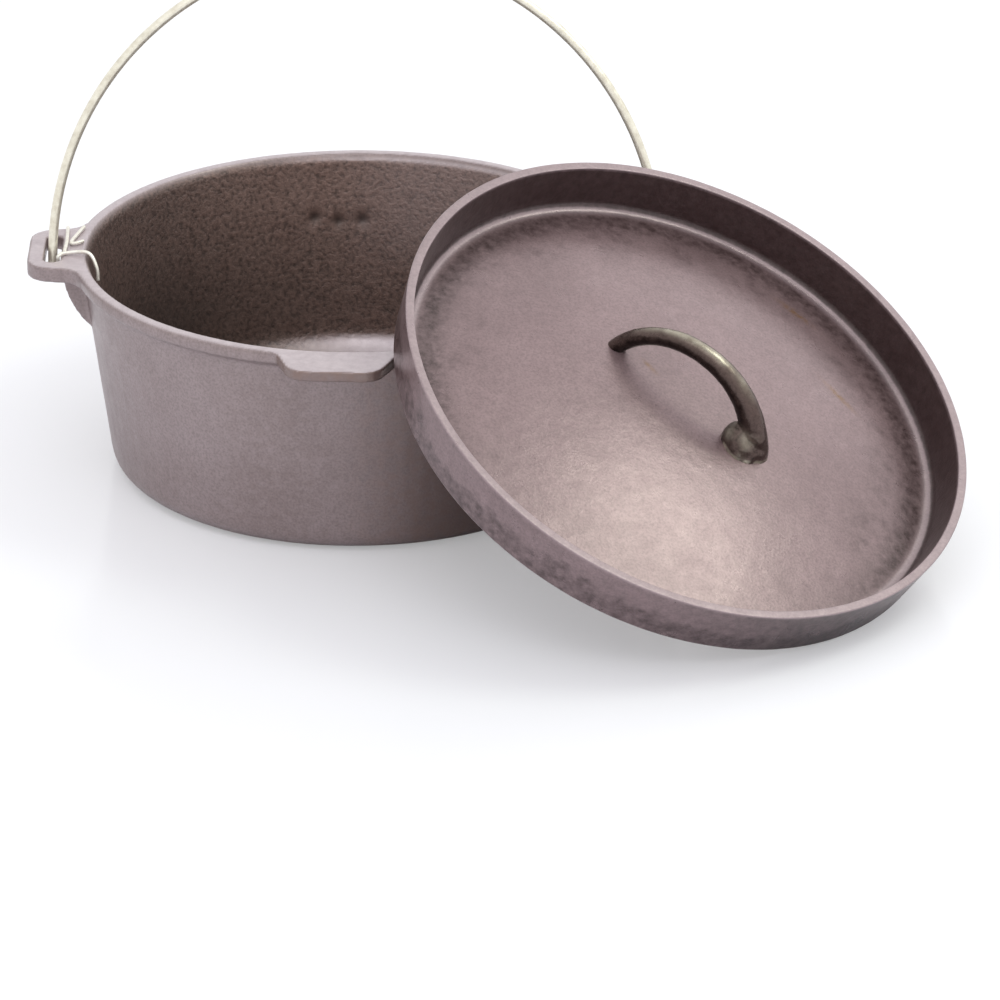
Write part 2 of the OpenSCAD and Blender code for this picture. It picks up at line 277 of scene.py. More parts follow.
def add_piece(name, mesh, body, node, material):
    piece = bpy.data.objects.new(name, mesh)
    bpy.context.scene.collection.objects.link(piece)
    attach(piece, body)
    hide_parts(node)
    mesh.materials.append(material)


def arc(centre, radius, start, end, steps=CORNER_STEPS):
    """Points along part of a circle, both ends included."""
    turn = np.radians(np.linspace(start, end, steps + 1))
    return [(centre[0] + radius * c, centre[1] + radius * s) for c, s in zip(np.cos(turn), np.sin(turn))]


def ring(centre, side, up, radius, sides):
    """Points round a centre, along two directions across the ring."""
    turn = np.linspace(0, 2 * math.pi, sides, endpoint=False)[:, None]
    return centre + radius * (np.cos(turn) * side + np.sin(turn) * up)


def skin(name, tubes):
    """A mesh of closed tubes, each a list of rings with equally many points."""
    verts, faces = [], []
    for rings in tubes:
        sides = len(rings[0])
        start = len(verts)
        for one in rings:
            verts += [tuple(p) for p in one]
        for first in range(start, len(verts) - sides, sides):
            for k in range(sides):
                n = (k + 1) % sides
                faces.append((first + k, first + n, first + sides + n, first + sides + k))
        faces.append([start + k for k in reversed(range(sides))])
        faces.append([len(verts) - sides + k for k in range(sides)])
    mesh = bpy.data.meshes.new(name)
    mesh.from_pydata(verts, [], faces)
    smooth_faces(mesh)
    mesh.update()
    return mesh


def lathe(name, section, sides, place):
    """A turned form whose section starts and ends on its axis."""
    turn = np.linspace(0, 2 * math.pi, sides, endpoint=False)
    verts = [place @ Vector((0, 0, section[0][1])), place @ Vector((0, 0, section[-1][1]))]
    for r, z in section[1:-1]:
        verts += [place @ Vector((r * c, r * s, z)) for c, s in zip(np.cos(turn), np.sin(turn))]
    last = len(verts) - sides
    faces = []
    for k in range(sides):
        n = (k + 1) % sides
        faces.append((0, 2 + n, 2 + k))
        faces.append((1, last + k, last + n))
        faces += [(i + k, i + n, i + sides + n, i + sides + k) for i in range(2, last, sides)]
    mesh = bpy.data.meshes.new(name)
    mesh.from_pydata(verts, [], faces)
    mesh.update()
    return mesh


def wire(path, radius, sides):
    """The rings of a round wire along a list of points, with softened ends."""
    askew = (0.31, 0.54, 0.78)
    # Rings that close an end: place along the wire and size, in wire radii
    ends = [(-0.54, 0.25), (-0.45, 0.7), (-0.24, 0.94)]
    path = np.array(path, float)
    way = np.gradient(path, axis=0)
    way /= np.linalg.norm(way, axis=1)[:, None]
    stations = [(0, off, size) for off, size in ends]
    stations += [(i, 0, 1) for i in range(len(path))]
    stations += [(-1, -off, size) for off, size in reversed(ends)]
    side = np.cross(way[0], askew)
    rings = []
    for i, off, size in stations:
        side = side - way[i] * (side @ way[i])
        side /= np.linalg.norm(side)
        centre = path[i] + way[i] * off * radius
        rings.append(ring(centre, side, np.cross(way[i], side), radius * size, sides))
    return rings


def round_path(points, step):
    """Points along a smooth curve through the given ones."""
    p = [np.array(q, float) for q in points]
    p = [2 * p[0] - p[1]] + p + [2 * p[-1] - p[-2]]
    out = []
    for a, b, c, d in zip(p, p[1:], p[2:], p[3:]):
        slope = c - a
        bend = 2 * a - 5 * b + 4 * c - d
        twist = 3 * b - a - 3 * c + d
        count = max(2, int(np.linalg.norm(c - b) / step))
        for t in np.arange(count) / count:
            out.append(0.5 * (2 * b + slope * t + bend * t**2 + twist * t**3))
    return out + [p[-2]]


def scaled(tone, share):
    return tuple(share * c for c in tone)


class Nodes:
    """A new material's node tree, with short ways to add and join nodes."""

    # Places of the two tones and of their blend among the sockets of a mix
    TONE_A, TONE_B, BLEND = 6, 7, 2

    def __init__(self, name):
        self.material = bpy.data.materials.new(name)
        self.material.use_nodes = True
        self.tree = self.material.node_tree
        self.shader = self.tree.nodes["Principled BSDF"]
        self.output = self.tree.nodes["Material Output"]

    def add(self, kind, **values):
        node = self.tree.nodes.new(kind)
        for key, value in values.items():
            setattr(node, key, value)
        return node

    def feed(self, socket, value):
        """Gives a socket a number or a tone, or joins a node's output to it."""
        if isinstance(value, (int, float)):
            socket.default_value = value
        elif isinstance(value, tuple):
            socket.default_value = (*value, 1)
        else:
            self.tree.links.new(value, socket)

    def set_shader(self, **values):
        """Gives the shader's sockets their values, each by its name with _ for a space."""
        for name, value in values.items():
            self.feed(self.shader.inputs[name.replace("_", " ")], value)

    def coords(self):
        return self.add("ShaderNodeTexCoord").outputs["Object"]

    def painted(self, name):
        return self.add("ShaderNodeAttribute", attribute_name=name).outputs["Fac"]

    def noise(self, where, scale, detail, rough):
        node = self.add("ShaderNodeTexNoise")
        for key, value in (("Vector", where), ("Scale", scale), ("Detail", detail), ("Roughness", rough)):
            self.feed(node.inputs[key], value)
        return node.outputs["Fac"]

    def spread(self, value, source, target=(0, 1)):
        """Maps one range of a value to another, held at both ends."""
        node = self.add("ShaderNodeMapRange", clamp=True)
        self.feed(node.inputs["Value"], value)
        for key, number in zip(("From Min", "From Max", "To Min", "To Max"), (*source, *target)):
            self.feed(node.inputs[key], number)
        return node.outputs["Result"]

    def math(self, kind, a, b):
        node = self.add("ShaderNodeMath", operation=kind)
        self.feed(node.inputs[0], a)
        self.feed(node.inputs[1], b)
        return node.outputs["Value"]

    def mix(self, share, a, b):
        node = self.add("ShaderNodeMix", data_type="RGBA")
        for key, value in (("Factor", share), (self.TONE_A, a), (self.TONE_B, b)):
            self.feed(node.inputs[key], value)
        return node.outputs[self.BLEND]

    def bump(self, layers):
        """Joins bump layers of (height, depth in metres) to the shader."""
        last = None
        for height, depth in layers:
            node = self.add("ShaderNodeBump")
            self.feed(node.inputs["Strength"], 1.0)
            self.feed(node.inputs["Distance"], depth)
            self.feed(node.inputs["Height"], height)
            if last:
                self.feed(node.inputs["Normal"], last)
            last = node.outputs["Normal"]
        self.set_shader(Normal=last)


# Pale tones of worn iron, also used for painted sheen, glints and highlights
CAST_WEAR_AND_SHEEN = ((0.55, 0.475, 0.515), (0.70, 0.62, 0.66))
RUST_TONE = (0.20, 0.105, 0.042)
# What coarse iron adds to the roughness, and the depth of its relief and of plain iron's, in grains
COARSE_ROUGH = 0.08
COARSE_DEPTH = 5
PLAIN_DEPTH = 0.35
STEEL_METAL = 0.6


def iron(name, tones, wear_and_sheen_tones, deep, rough, grain, metal, shine):
    """Bare iron, varied by the painted values.

    tones and the tones of wear and sheen are (dark, light), deep is the tone in shade, rough is (smoothest,
    roughest), and grain is a depth in metres. Shade turns it deep, as painted shade, stains and the pot's
    browner inside; coarse pits it;
    dim darkens it, as painted shade and in dark pits; the pale layer shows wear and painted sheen and
    highlights; rust marks it.
    """
    dark, light = tones
    nodes = Nodes(name)
    where = nodes.coords()
    shade, coarse = nodes.painted("shade"), nodes.painted("coarse")
    blotch = nodes.noise(where, scale=14, detail=5, rough=0.6)
    mottle = nodes.noise(where, scale=210, detail=5, rough=0.65)
    speck = nodes.noise(where, scale=760, detail=3, rough=0.6)
    relief = nodes.noise(where, scale=430, detail=3, rough=0.55)
    flake = nodes.noise(where, scale=330, detail=3, rough=0.6)
    polish = nodes.noise(where, scale=60, detail=5, rough=0.65)

    colour = nodes.mix(nodes.spread(blotch, (0.3, 0.7)), dark, light)
    colour = nodes.mix(nodes.spread(mottle, (0.4, 0.75), (0, 0.5)), colour, scaled(light, 1.2))
    colour = nodes.mix(nodes.spread(speck, (0.42, 0.66), (0, 0.45)), colour, scaled(dark, 0.6))

    border = nodes.math("MULTIPLY", shade, nodes.math("SUBTRACT", 1.0, shade))
    ragged = nodes.math("MULTIPLY", border, nodes.spread(mottle, (0.35, 0.65), (-1.3, 1.3)))
    colour = nodes.mix(nodes.math("ADD", shade, ragged), colour, deep)

    hollow = nodes.math("MULTIPLY", coarse, nodes.spread(relief, (0.5, 0.7), (0, 0.8)))
    crest = nodes.math("MULTIPLY", coarse, nodes.spread(relief, (0.5, 0.3), (0, 0.6)))
    colour = nodes.mix(crest, colour, scaled(deep, 1.6))
    colour = nodes.mix(hollow, colour, scaled(deep, 0.2))

    # Dim darkens it towards black: painted shade, and dark pits
    colour = nodes.mix(nodes.painted("dim"), colour, scaled(deep, 0.1))
    rust = nodes.math("MULTIPLY", nodes.painted("rust"), nodes.spread(flake, (0.3, 0.55)))
    colour = nodes.mix(rust, colour, RUST_TONE)
    # The pale layer: wear, together with painted sheen, glints and highlights
    colour = nodes.mix(nodes.painted("ground"), colour, nodes.mix(nodes.spread(mottle, (0.3, 0.7)), *wear_and_sheen_tones))

    level = nodes.spread(polish, (0.3, 0.7), rough)
    level = nodes.math("ADD", level, nodes.math("MULTIPLY", coarse, COARSE_ROUGH))
    nodes.set_shader(Base_Color=colour, Roughness=level, Metallic=metal, Specular_IOR_Level=shine)
    depth = nodes.math("ADD", nodes.math("MULTIPLY", coarse, COARSE_DEPTH * grain), PLAIN_DEPTH * grain)
    nodes.bump([(nodes.math("SUBTRACT", 1.0, relief), depth), (speck, grain)])
    return nodes.material


def steel(name, tone, dull, rough, grain):
    """Drawn wire: fine streaks, dulled in places."""
    nodes = Nodes(name)
    where = nodes.coords()
    streak = nodes.noise(where, scale=260, detail=4, rough=0.6)
    patch = nodes.noise(where, scale=60, detail=4, rough=0.6)
    scratch = nodes.noise(where, scale=1400, detail=3, rough=0.6)
    colour = nodes.mix(nodes.spread(streak, (0.35, 0.7)), tone, dull)
    colour = nodes.mix(nodes.spread(patch, (0.55, 0.75), (0, 0.5)), colour, scaled(dull, 0.6))
    level = nodes.spread(patch, (0.3, 0.7), rough)
    nodes.set_shader(Base_Color=colour, Roughness=level, Metallic=STEEL_METAL)
    nodes.bump([(scratch, grain)])
    return nodes.material


# Skin of the pot, and where each mark on it goes from faint to full
POT_SKIN = [(0.06, 0.00010, 1), (0.012, 0.00006, 2), (0.005, 0.00005, 7)]
INSIDE_PAST_WALL = (0.0028, 0.0008)
INSIDE_BELOW_TOP = (0.001, 0.0035)
INSIDE_FLOOR_Z = FLOOR_T - 0.002
TOP_UP = (0.75, 0.97)
TOP_BELOW = (0.003, 0.001)
BACK_Y = (0.03, 0.09)
GLINT_UP = (0.25, 0.6)
GLINT_X = (-0.07, 0.02)
GLINT_RADIUS = (0.108, 0.115)
LIT_X = (-0.02, 0.04)
LIT_Z = (0.04, 0.08)
SHADED_X = (-0.02, 0.06)
SHADED_Y = (0.0, -0.07)
TAB_RADIUS = (RIM_R + 0.001, RIM_R + 0.003)
TAB_Y = (-0.11, -0.13)
TAB_SHADE_X = (0.008, 0.03)
INNER_SHADE_Z = (0.10, 0.03)
INNER_SHADE_X = (0.02, -0.11)
INNER_SHADE_CORNER_X = (-0.06, -0.12)
# Pits in the pot's back wall, across and up
PITS = [(-0.0245, 0.083), (-0.0115, 0.0805), (0.002, 0.081)]
PIT_R = 0.0038
PIT_DEPTH = 0.0012
PIT_NOISE = (0.004, 16)
PIT_RAGGED = (-0.8, -0.1)


def pot_regions(points, normal):
    """How far each point is in the pot's inside and on its top face, from 0 to 1."""
    x, y, z = points.T
    past_wall = np.hypot(x, y) - INNER_BASE_R - z * WALL_SLOPE
    inside = smoothstep(past_wall, *INSIDE_PAST_WALL) * (z > INSIDE_FLOOR_Z)
    inside *= smoothstep(POT_H - z, *INSIDE_BELOW_TOP)
    top = smoothstep(normal[:, 2], *TOP_UP) * smoothstep(POT_H - z, *TOP_BELOW)
    return inside, top


def pot_pits(points):
    """How deep the pits of the back wall are at each point, from 0 to 1."""
    x, y, z = points.T
    pits = sum(np.exp(-((x - pit_x) ** 2 + (z - pit_z) ** 2) / PIT_R**2) for pit_x, pit_z in PITS)
    return pits * smoothstep(y, *BACK_Y) * smoothstep(wave(points, *PIT_NOISE), *PIT_RAGGED)


def paint_pot(mesh, points, normal, inside, top, pits):
    """Worn and with painted sheen on its top face, coarse and browner inside with painted shade low and
    left, a painted glint and painted light at the back, dark pits, painted shadow of the lid on its front
    right, and a darker tab face with painted shade towards the lid.
    """
    x, y, z = points.T
    radius = np.hypot(x, y)
    outside = (1 - inside) * (1 - top)
    back = inside * smoothstep(y, *BACK_Y)
    # Painted glint: a pale band on the back of the floor's fillet, where it reflects the light overhead
    glint = back * smoothstep(x, *GLINT_X) * smoothstep(radius, *GLINT_RADIUS)
    glint *= smoothstep(normal[:, 2], *GLINT_UP)
    # Painted light: the back wall paler to the right and higher up
    lit = back * smoothstep(x, *LIT_X) * smoothstep(z, *LIT_Z)
    # Painted shadow of the lid, with its reddish reflection, on the pot's front right
    shaded = outside * smoothstep(x, *SHADED_X) * smoothstep(y, *SHADED_Y)
    # The tab's face browner and darker, with painted shade darkening it further towards the lid
    tab_face = outside * smoothstep(radius, *TAB_RADIUS) * smoothstep(y, *TAB_Y)
    tab_shade = tab_face * (0.2 + 0.55 * smoothstep(x, *TAB_SHADE_X))
    # Painted shade inside, deeper towards the bottom and the left, where the iron is also coarser
    inner_shade = smoothstep(z, *INNER_SHADE_Z) + smoothstep(x, *INNER_SHADE_X) + 0.55 * smoothstep(x, *INNER_SHADE_CORNER_X)
    # The top face paler: worn, with painted sheen
    paint(
        mesh,
        shade=np.clip(inside + 0.7 * shaded + 0.6 * tab_face, 0, 1),
        coarse=inside * np.clip(0.8 + 0.2 * inner_shade, 0, 1) * (1 - glint) * (1 - pits),
        ground=0.65 * top + 0.95 * glint + 0.14 * lit,
        dim=np.maximum(0.35 * inside * inner_shade * (1 - glint), 0.85 * pits) + 0.4 * shaded + tab_shade,
    )


def pot_iron():
    return iron(
        "pot_iron",
        tones=((0.235, 0.176, 0.172), (0.310, 0.245, 0.248)),
        wear_and_sheen_tones=CAST_WEAR_AND_SHEEN,
        deep=(0.250, 0.163, 0.140),
        rough=(0.32, 0.44),
        grain=0.0001,
        metal=0.4,
        shine=1.0,
    )


def add_pot():
    """The pot, one casting with its ears and its tab."""
    mesh = casting("pot", POT_VOXEL, POT_ROUNDS)
    points, normal = points_of(mesh), normals_of(mesh)
    inside, top = pot_regions(points, normal)
    pits = inside * pot_pits(points)
    roughen(mesh, POT_SKIN)
    set_points(mesh, points_of(mesh) - PIT_DEPTH * pits[:, None] * normal)
    paint_pot(mesh, points, normal, inside, top, pits)
    add_piece("pot_casting", mesh, "pot", "pot", pot_iron())


# Skin and marks of the lid, in its own axes but for LOW_X
LID_SKIN = [(0.06, 0.00012, 3), (0.012, 0.00006, 4), (0.005, 0.00005, 8)]
FRONT_SHARE = (0.2, 0.9)
NEAR_AXIS = 0.001
TRAY_HEIGHT = (TRAY_Z - 0.003, TRAY_Z)
TRAY_SLACK = 0.0003
EDGE_HEIGHT = (LID_H - 0.0012, LID_H - 0.0003)
WALL_HEIGHT = (TRAY_Z + 0.1 * TRAY_FILLET_R, TRAY_Z + 0.34 * TRAY_FILLET_R)
GUTTER_IN = (DOME_R - 0.021, DOME_R - 0.007)
GUTTER_OUT = (DOME_R, DOME_R - 0.004)
FILLET_RADIUS = (DOME_R - 0.002, DOME_R)
TIDE_HEIGHT = (0.0172, 0.0128)
TIDE_NOISE = [(0.008, 0.03, 9), (0.005, 0.008, 10)]
LOW_X = (0.13, 0.27)
STAIN_RADIUS = (0.080, 0.125)
STAIN_NOISE = [(1.0, 0.022, 18), (0.7, 0.006, 19)]
STAIN_RAGGED = (-0.2, 0.9)
# Rust marks in the tray: place from the lid's middle, half length, half width and direction in radians
RUST_MARKS = [
    (-0.022, -0.005, 0.0045, 0.0013, 0.0),
    (0.030, 0.095, 0.0095, 0.0017, 0.16),
    (-0.027, 0.117, 0.009, 0.0022, 0.3),
]


def lid_section(step):
    """Radius and height round half a section of the lid, from the underside's middle to the top's."""
    out = [(r, dome_z(r) - DOME_T) for r in np.arange(0, LIP_IN_R, step)]
    corners = [(LIP_IN_R, dome_z(LIP_IN_R) - DOME_T), (LIP_IN_R, -LIP_H), (LIP_R, -LIP_H), (LIP_R, 0)]
    corners += arc((LID_BASE_R - LID_FOOT_R, LID_FOOT_R), LID_FOOT_R, -90, 0)
    corners += arc((LID_TOP_R - LID_EDGE_R, LID_H - LID_EDGE_R), LID_EDGE_R, 0, 90)
    corners += arc((LID_MOUTH_R + LID_EDGE_R, LID_H - LID_EDGE_R), LID_EDGE_R, 90, 180)
    corners += arc((DOME_R, TRAY_Z + TRAY_FILLET_R), TRAY_FILLET_R, 0, -90)
    for a, b in zip(corners, corners[1:]):
        count = max(1, round(math.dist(a, b) / step))
        out += [tuple(np.array(a) + (np.array(b) - np.array(a)) * k / count) for k in range(count)]
    return out + [(r, dome_z(r)) for r in np.append(np.arange(DOME_R, step, -step), 0)]


def layered(points, layers):
    """A sum of waves, each with a share, a feature size and a seed."""
    return sum(share * wave(points, size, seed) for share, size, seed in layers)


def rust_at(x, y):
    """How rusty the tray is at each point, from 0 to 1."""
    rust = np.zeros(len(x))
    for mark_x, mark_y, length, width, turn in RUST_MARKS:
        along = (x - mark_x) * math.cos(turn) + (y - mark_y) * math.sin(turn)
        across = (y - mark_y) * math.cos(turn) - (x - mark_x) * math.sin(turn)
        rust += np.exp(-((along / length) ** 2) - (across / width) ** 2)
    return rust


def paint_lid(mesh, points):
    """Painted shade on the tray's wall and in the gutter, a painted highlight on the fillet, stained round
    the dome, worn and with a painted highlight on the rim's edge, and darker outside with tide marks and
    painted shade on the low side.
    """
    x, y, height = seen_from(LID_TO_WORLD, points).T
    radius = np.hypot(x, y)
    ahead = LID_TO_WORLD.translation.y - points[:, 1]
    front = smoothstep(ahead / np.maximum(radius, NEAR_AXIS), *FRONT_SHARE)
    # The lid's low front right, where painted shade darkens the outer wall near the floor
    low = smoothstep(points[:, 0], *LOW_X) * front
    tray = (radius < LID_MOUTH_R + TRAY_SLACK) * smoothstep(height, *TRAY_HEIGHT)
    # The rim's top edge, which the paint makes paler as wear and as a painted highlight
    edge = smoothstep(height, *EDGE_HEIGHT)
    # Painted shade on the tray's inner wall
    wall_shade = tray * (radius > DOME_R) * smoothstep(height, *WALL_HEIGHT) * (1 - edge)
    # Painted shade: the dark wall's reflection in the gutter, fading towards the front
    gutter_shade = tray * (1 - front) * smoothstep(radius, *GUTTER_IN) * smoothstep(radius, *GUTTER_OUT)
    # Painted highlight: a pale ring on the fillet at the wall's foot
    fillet_highlight = tray * smoothstep(radius, *FILLET_RADIUS) * (1 - wall_shade) * (1 - edge)
    stain = tray * smoothstep(radius, *STAIN_RADIUS) * (1 - 0.6 * front)
    stain *= smoothstep(layered(points, STAIN_NOISE), *STAIN_RAGGED)
    outer = (radius > LID_BASE_R - LID_FOOT_R) * (1 - edge) * (1 - tray)
    tide = smoothstep(height + layered(points, TIDE_NOISE), *TIDE_HEIGHT)
    # The outer wall darker all round, with tide marks below a wavy line, and painted shade on its low side
    outer_shade = outer * (0.16 + 0.34 * tide + 0.35 * low)
    paint(
        mesh,
        shade=np.maximum.reduce([0.95 * wall_shade, 0.55 * gutter_shade, 0.3 * stain, outer_shade]),
        coarse=0.3 * wall_shade,
        ground=0.2 * edge + 0.18 * fillet_highlight,
        rust=0.9 * tray * rust_at(x, y),
        dim=0.55 * outer * low,
    )


def lid_iron():
    return iron(
        "lid_iron",
        tones=((0.213, 0.143, 0.149), (0.277, 0.191, 0.199)),
        wear_and_sheen_tones=CAST_WEAR_AND_SHEEN,
        deep=(0.034, 0.014, 0.014),
        rough=(0.26, 0.35),
        grain=0.00008,
        metal=0.4,
        shine=1.0,
    )


def add_lid():
    """The lid, turned round its own axis and leaning on the pot."""
    mesh = lathe("lid_skin", lid_section(LID_STEP), LID_SIDES, LID_TO_WORLD)
    points = points_of(mesh)
    roughen(mesh, LID_SKIN)
    paint_lid(mesh, points)
    add_piece("lid_casting", mesh, "lid", "lid", lid_iron())


# Skin and marks of the lid handle, with angles along its arc and tilts round its bar
HANDLE_SKIN = [(0.02, 0.00015, 5), (0.007, 0.00016, 6), (0.003, 0.00010, 11)]
WELD_REACH = (1.25, 0.9)
WELD_LUMPS = 0.0009
WELD_NOISE = (0.0045, 14)
UNDER_TILT = (50, 105)
# Where the painted highlight along the crown lies
GRIP_HIGHLIGHT_TILT = -4
GRIP_HIGHLIGHT_WIDTH = 26
GRIP_HIGHLIGHT_START = (48, 72)
GRIP_HIGHLIGHT_END = (150, 108)
GRIP_HIGHLIGHT_NOISE = (0.008, 13)
GRIP_HIGHLIGHT_RAGGED = (-0.9, 0.3)
BEIGE_X = (0.049, 0.041)
BEIGE_NOISE = (0.007, 12)
BEIGE_RAGGED = (-0.6, 0.7)
FRINGE_ABOVE = (0.0022, 0.0008)
FRINGE_X = (0.02, 0.03)
FRINGE_NOISE = (0.004, 15)
FRINGE_RAGGED = (-0.4, 0.3)


def handle_rings(steps, sides):
    """The handle's bar: an arc that thickens to one end, whose ends are sunk in the dome."""
    rings = []
    for t in np.linspace(0, 1, steps + 1):
        turn = math.radians(HANDLE_FOOT_A + (180 - 2 * HANDLE_FOOT_A) * t)
        out = np.array((math.cos(turn), 0, math.sin(turn)))
        thick = HANDLE_D + (HANDLE_LEG_D - HANDLE_D) * (1 - t) ** HANDLE_SWELL
        thick += (HANDLE_FOOT_D - HANDLE_LEG_D) * (1 - t) ** HANDLE_FLARE
        middle = np.array((HANDLE_SHIFT, 0, HANDLE_ARC_Z)) + HANDLE_ARC_R * out
        rings.append(ring(middle, out, np.array((0, -1, 0)), thick / 2, sides))
    for end, lean in ((rings[0], -1), (rings[-1], 1)):
        sink = dome_z(np.hypot(end[:, 0], end[:, 1])) - HANDLE_SINK - end[:, 2]
        end[:, 2] += sink
        end[:, 0] += lean * sink * math.tan(math.radians(HANDLE_FOOT_A))
    return rings


def weld_rings(steps, sides):
    """The weld heaped round the inner side of the handle's thick foot."""
    wide, deep, high = WELD_SIZE
    foot = dome_z(math.hypot(WELD_X, WELD_Y)) - HANDLE_SINK
    rings = []
    for turn in np.radians(np.linspace(0, WELD_TOP, steps + 1)):
        rise = high * math.sin(turn)
        middle = np.array((WELD_X - WELD_SLANT * rise, WELD_Y, foot + rise))
        rings.append(ring(middle, np.array((wide, 0, 0)), np.array((0, deep, 0)), math.cos(turn), sides))
    return rings


def handle_forms():
    """The bar and the weld where they stand on the lid."""
    forms = [handle_rings(HANDLE_STEPS, HANDLE_SIDES), weld_rings(WELD_STEPS, HANDLE_SIDES)]
    placed = [[[HANDLE_TO_WORLD @ Vector(p) for p in one] for one in rings] for rings in forms]
    return skin("handle_forms", placed)


def above_dome(local):
    """Height of points in the handle's axes over the lid's dome."""
    return local[:, 2] - dome_z(np.hypot(local[:, 0], local[:, 1]))


def weld_at(local):
    """How far each point is in the weld, from 0 to 1."""
    x, y, _ = local.T
    offset = np.stack([x - WELD_X, y - WELD_Y, above_dome(local)], 1) / WELD_SIZE
    return smoothstep(np.linalg.norm(offset, axis=1), *WELD_REACH)


def paint_handle(mesh, points, local, weld):
    """Painted shade below, a painted highlight mottled with wear along the crown, and pale on and round the
    weld.
    """
    x, y, z = local.T
    across, rise = x - HANDLE_SHIFT, z - HANDLE_ARC_Z
    along = np.degrees(np.arctan2(rise, across))
    tilt = np.degrees(np.arctan2(y, np.hypot(across, rise) - HANDLE_ARC_R))
    # Painted shade on the bar's inner, lower side, but not on the weld
    under_shade = smoothstep(np.abs(tilt), *UNDER_TILT) * (1 - weld)
    # Painted highlight along the crown's upper side, mottled with wear
    grip_highlight = np.exp(-(((tilt - GRIP_HIGHLIGHT_TILT) / GRIP_HIGHLIGHT_WIDTH) ** 2))
    grip_highlight *= smoothstep(along, *GRIP_HIGHLIGHT_START) * smoothstep(along, *GRIP_HIGHLIGHT_END)
    grip_highlight *= smoothstep(wave(points, *GRIP_HIGHLIGHT_NOISE), *GRIP_HIGHLIGHT_RAGGED)
    beige = weld * smoothstep(x, *BEIGE_X) * smoothstep(wave(points, *BEIGE_NOISE), *BEIGE_RAGGED)
    fringe = smoothstep(above_dome(local), *FRINGE_ABOVE) * smoothstep(x, *FRINGE_X)
    fringe *= smoothstep(wave(points, *FRINGE_NOISE), *FRINGE_RAGGED)
    paint(
        mesh,
        shade=0.9 * under_shade,
        coarse=0.6 * weld,
        ground=np.maximum.reduce([0.7 * grip_highlight, 0.35 * beige, 0.6 * fringe]),
    )


def handle_iron():
    return iron(
        "handle_iron",
        tones=((0.070, 0.045, 0.040), (0.125, 0.087, 0.078)),
        wear_and_sheen_tones=((0.40, 0.35, 0.27), (0.66, 0.62, 0.51)),
        deep=(0.010, 0.005, 0.004),
        rough=(0.22, 0.34),
        grain=0.00008,
        metal=0.6,
        shine=0.3,
    )


def add_lid_handle():
    """The lid's handle, fused with the lumpy weld at its thick foot."""
    mesh = fuse("handle_skin", handle_forms(), HANDLE_VOXEL, HANDLE_ROUNDS)
    points = points_of(mesh)
    local = seen_from(HANDLE_TO_WORLD, points)
    weld = weld_at(local)
    lumps = WELD_LUMPS * weld * wave(points, *WELD_NOISE)
    set_points(mesh, points + normals_of(mesh) * lumps[:, None])
    roughen(mesh, HANDLE_SKIN)
    paint_handle(mesh, points, local, weld)
    add_piece("lid_handle_bar", mesh, "lid", "lid_handle", handle_iron())


def bail_path():
    """Points along the bail's wire, from the right foot over the crown to the left foot."""
    bend_x = BAIL_R + BEND_R
    half = [(FOOT_END, 0), (0.5 * (FOOT_END + bend_x), 0)]
    half += arc((bend_x, BEND_R), BEND_R, 270, 180, BEND_STEPS)
    half += arc((0, BEND_R + LEG_L), BAIL_R, 0, 90, BAIL_STEPS)
    flat = half + [(-x, rise) for x, rise in reversed(half[:-1])]
    lean = math.radians(BAIL_LEAN)
    return [(x, rise * math.sin(lean), HINGE_Z + rise * math.cos(lean)) for x, rise in flat]


def bail_steel():
    return steel(
        "bail_steel",
        tone=(0.90, 0.865, 0.75),
        dull=(0.70, 0.65, 0.54),
        rough=(0.25, 0.40),
        grain=0.00003,
    )


def add_bail():
    """The bail, one bent wire hooked through both ears."""
    mesh = skin("bail_skin", [wire(bail_path(), WIRE_R, BAIL_SIDES)])
    add_piece("bail_wire", mesh, "bail", "bail", bail_steel())


def tie_paths():
    """The tie's strands: from the slot over the rim, back along the ear, and a hooked loose end."""
    over = [
        (TIE_SLOT_X, TIE_FRONT, EAR_BOTTOM_Z),
        (TIE_SLOT_X, TIE_FRONT, POT_H - 0.0015),
        (TIE_SLOT_X + 0.0005, TIE_FRONT + 0.0004, POT_H + 0.0009),
        (KNOT_X, KNOT_Y, TIE_Z),
        (-INNER_RIM_R + 0.0020, KNOT_Y, TIE_Z),
        (-INNER_RIM_R + 0.0065, TIE_FRONT, POT_H - 0.0054),
        (-INNER_RIM_R + 0.0073, TIE_FRONT - 0.002, POT_H - 0.0119),
    ]
    along = [
        (KNOT_X - 0.0010, KNOT_Y + 0.0024, TIE_Z),
        (KNOT_X - 0.0005, KNOT_Y + 0.0160, TIE_Z),
        (KNOT_X - 0.0010, KNOT_Y + 0.0370, TIE_Z),
    ]
    loose = [
        (KNOT_X + 0.0075, KNOT_Y + 0.0380, TIE_Z),
        (KNOT_X + 0.0020, KNOT_Y + 0.0166, TIE_Z),
        (KNOT_X + 0.0040, KNOT_Y + 0.0140, TIE_Z),
        (KNOT_X + 0.0080, KNOT_Y + 0.0170, TIE_Z),
    ]
    return over, along, loose


def tie_steel():
    return steel(
        "tie_steel",
        tone=(0.90, 0.88, 0.82),
        dull=(0.80, 0.76, 0.68),
        rough=(0.35, 0.5),
        grain=0.00002,
    )


def add_tie():
    """The tie on the left ear, of thinner and paler wire than the bail."""
    mesh = skin("tie_skin", [wire(round_path(path, TIE_STEP), TIE_R, TIE_SIDES) for path in tie_paths()])
    add_piece("tie_strands", mesh, "pot", "tie_wire", tie_steel())


